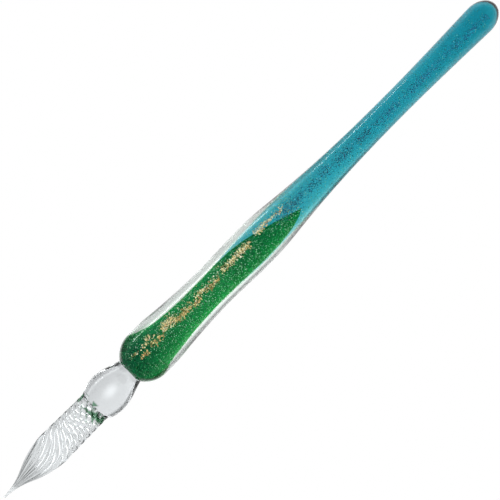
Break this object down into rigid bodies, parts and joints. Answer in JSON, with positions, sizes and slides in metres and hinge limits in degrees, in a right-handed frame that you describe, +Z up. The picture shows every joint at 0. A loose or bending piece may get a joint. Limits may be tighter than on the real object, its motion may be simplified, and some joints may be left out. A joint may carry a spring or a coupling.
{
  "type": "glass dip pen",
  "caption": "Glass dip pen with a twisted, fluted clear nib, a clear bulb, and a waisted handle with green and turquoise cores and glitter strands.",
  "frame": {"origin": "under the middle of the pen's length, on the surface that the pen lies on", "axes": "+X from the writing point to the rounded end, +Z up from the surface, +Y across the pen"},
  "size_m": [0.1752, 0.0136, 0.0137],
  "materials": {
    "nib_glass": "clear gloss",
    "bulb_glass": "clear gloss",
    "casing_glass": "clear gloss",
    "green_glass": "translucent gloss",
    "turquoise_glass": "translucent gloss",
    "gold_flakes": "metallic flakes in glass",
    "copper_flakes": "metallic flakes in glass",
    "silver_flakes": "metallic flakes in glass",
    "navy_flakes": "metallic flakes in glass"
  },
  "bodies": {
    "root": {"nib": "nib_glass", "bulb": "bulb_glass", "handle_casing": "casing_glass", "green_core": "green_glass", "turquoise_core": "turquoise_glass", "gold_glitter": "gold_flakes", "copper_glitter": "copper_flakes", "silver_glitter": "silver_flakes", "navy_glitter": "navy_flakes"}
  },
  "joints": []
}
